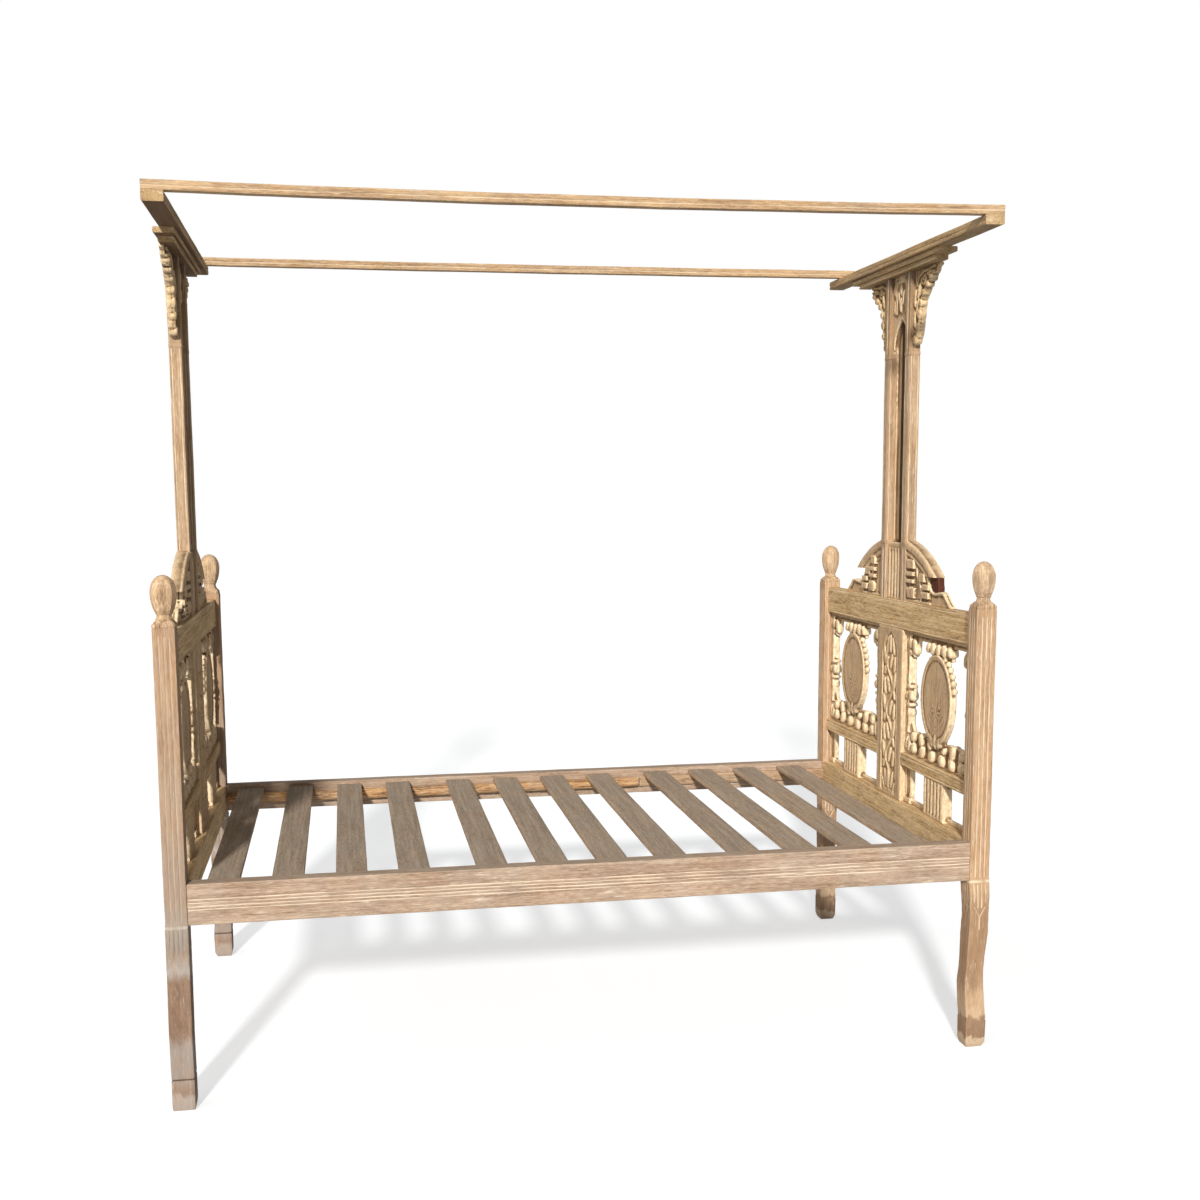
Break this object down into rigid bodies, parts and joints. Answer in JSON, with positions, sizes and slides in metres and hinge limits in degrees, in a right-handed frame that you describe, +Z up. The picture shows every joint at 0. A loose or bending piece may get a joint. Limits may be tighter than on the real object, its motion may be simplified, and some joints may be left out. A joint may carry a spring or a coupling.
{
  "type": "miniature canopy bed",
  "caption": "Miniature canopy bed in bleached carved wood: corner posts with acorn finials, pierced end panels, loose slats and a light open tester on twin end posts.",
  "frame": {"origin": "on the floor under the middle of the bed", "axes": "+Z up, X along the bed, -Y towards the front long side"},
  "size_m": [0.5014, 0.292, 0.519],
  "materials": {
    "post_wood": "weathered and limed",
    "rail_wood": "weathered and limed",
    "carving_wood": "carved, with pale lime in the hollows",
    "slat_wood": "grey weathered plank",
    "tester_wood": "weathered and limed",
    "ledger_wood": "rough sawn",
    "pin_wood": "end grain"
  },
  "bodies": {
    "root": {"post_front_left": "post_wood", "finial_front_left": "post_wood", "carved_panel_front_left": "carving_wood", "canopy_post_front_left": "post_wood", "bracket_front_left": "carving_wood", "post_back_left": "post_wood", "finial_back_left": "post_wood", "carved_panel_back_left": "carving_wood", "canopy_post_back_left": "post_wood", "bracket_back_left": "carving_wood", "post_front_right": "post_wood", "finial_front_right": "post_wood", "carved_panel_front_right": "carving_wood", "canopy_post_front_right": "post_wood", "bracket_front_right": "carving_wood", "post_back_right": "post_wood", "finial_back_right": "post_wood", "carved_panel_back_right": "carving_wood", "canopy_post_back_right": "post_wood", "bracket_back_right": "carving_wood", "end_top_rail_left": "rail_wood", "end_bottom_rail_left": "rail_wood", "end_mid_rails_left": "rail_wood", "muntin_left": "carving_wood", "plinth_panels_left": "carving_wood", "slot_board_left": "carving_wood", "crest_board_left": "carving_wood", "crest_arch_left": "carving_wood", "cap_beam_left": "rail_wood", "end_top_rail_right": "rail_wood", "end_bottom_rail_right": "rail_wood", "end_mid_rails_right": "rail_wood", "muntin_right": "carving_wood", "plinth_panels_right": "carving_wood", "slot_board_right": "carving_wood", "crest_board_right": "carving_wood", "crest_arch_right": "carving_wood", "cap_beam_right": "rail_wood", "side_rail_front": "rail_wood", "ledger_front": "ledger_wood", "side_rail_back": "rail_wood", "ledger_back": "ledger_wood"},
    "loose_slat_01": {"slat_01": "slat_wood"},
    "loose_slat_02": {"slat_02": "slat_wood"},
    "loose_slat_03": {"slat_03": "slat_wood"},
    "loose_slat_04": {"slat_04": "slat_wood"},
    "loose_slat_05": {"slat_05": "slat_wood"},
    "loose_slat_06": {"slat_06": "slat_wood"},
    "loose_slat_07": {"slat_07": "slat_wood"},
    "loose_slat_08": {"slat_08": "slat_wood"},
    "loose_slat_09": {"slat_09": "slat_wood"},
    "loose_slat_10": {"slat_10": "slat_wood"},
    "loose_slat_11": {"slat_11": "slat_wood"},
    "loose_slat_12": {"slat_12": "slat_wood"},
    "tester": {"tester_board_left": "tester_wood", "tester_board_right": "tester_wood", "tester_rail_front": "tester_wood", "tester_rail_back": "tester_wood", "tester_pins": "pin_wood"}
  },
  "joints": [
    {"name": "slat_01_lift", "type": "slide", "parent": "root", "child": "loose_slat_01", "axis": [0, 0, 1], "range_m": [0, 0.06]},
    {"name": "slat_02_lift", "type": "slide", "parent": "root", "child": "loose_slat_02", "axis": [0, 0, 1], "range_m": [0, 0.06]},
    {"name": "slat_03_lift", "type": "slide", "parent": "root", "child": "loose_slat_03", "axis": [0, 0, 1], "range_m": [0, 0.06]},
    {"name": "slat_04_lift", "type": "slide", "parent": "root", "child": "loose_slat_04", "axis": [0, 0, 1], "range_m": [0, 0.06]},
    {"name": "slat_05_lift", "type": "slide", "parent": "root", "child": "loose_slat_05", "axis": [0, 0, 1], "range_m": [0, 0.06]},
    {"name": "slat_06_lift", "type": "slide", "parent": "root", "child": "loose_slat_06", "axis": [0, 0, 1], "range_m": [0, 0.06]},
    {"name": "slat_07_lift", "type": "slide", "parent": "root", "child": "loose_slat_07", "axis": [0, 0, 1], "range_m": [0, 0.06]},
    {"name": "slat_08_lift", "type": "slide", "parent": "root", "child": "loose_slat_08", "axis": [0, 0, 1], "range_m": [0, 0.06]},
    {"name": "slat_09_lift", "type": "slide", "parent": "root", "child": "loose_slat_09", "axis": [0, 0, 1], "range_m": [0, 0.06]},
    {"name": "slat_10_lift", "type": "slide", "parent": "root", "child": "loose_slat_10", "axis": [0, 0, 1], "range_m": [0, 0.06]},
    {"name": "slat_11_lift", "type": "slide", "parent": "root", "child": "loose_slat_11", "axis": [0, 0, 1], "range_m": [0, 0.06]},
    {"name": "slat_12_lift", "type": "slide", "parent": "root", "child": "loose_slat_12", "axis": [0, 0, 1], "range_m": [0, 0.06]},
    {"name": "tester_lift", "type": "slide", "parent": "root", "child": "tester", "axis": [0, 0, 1], "range_m": [0, 0.04]}
  ]
}
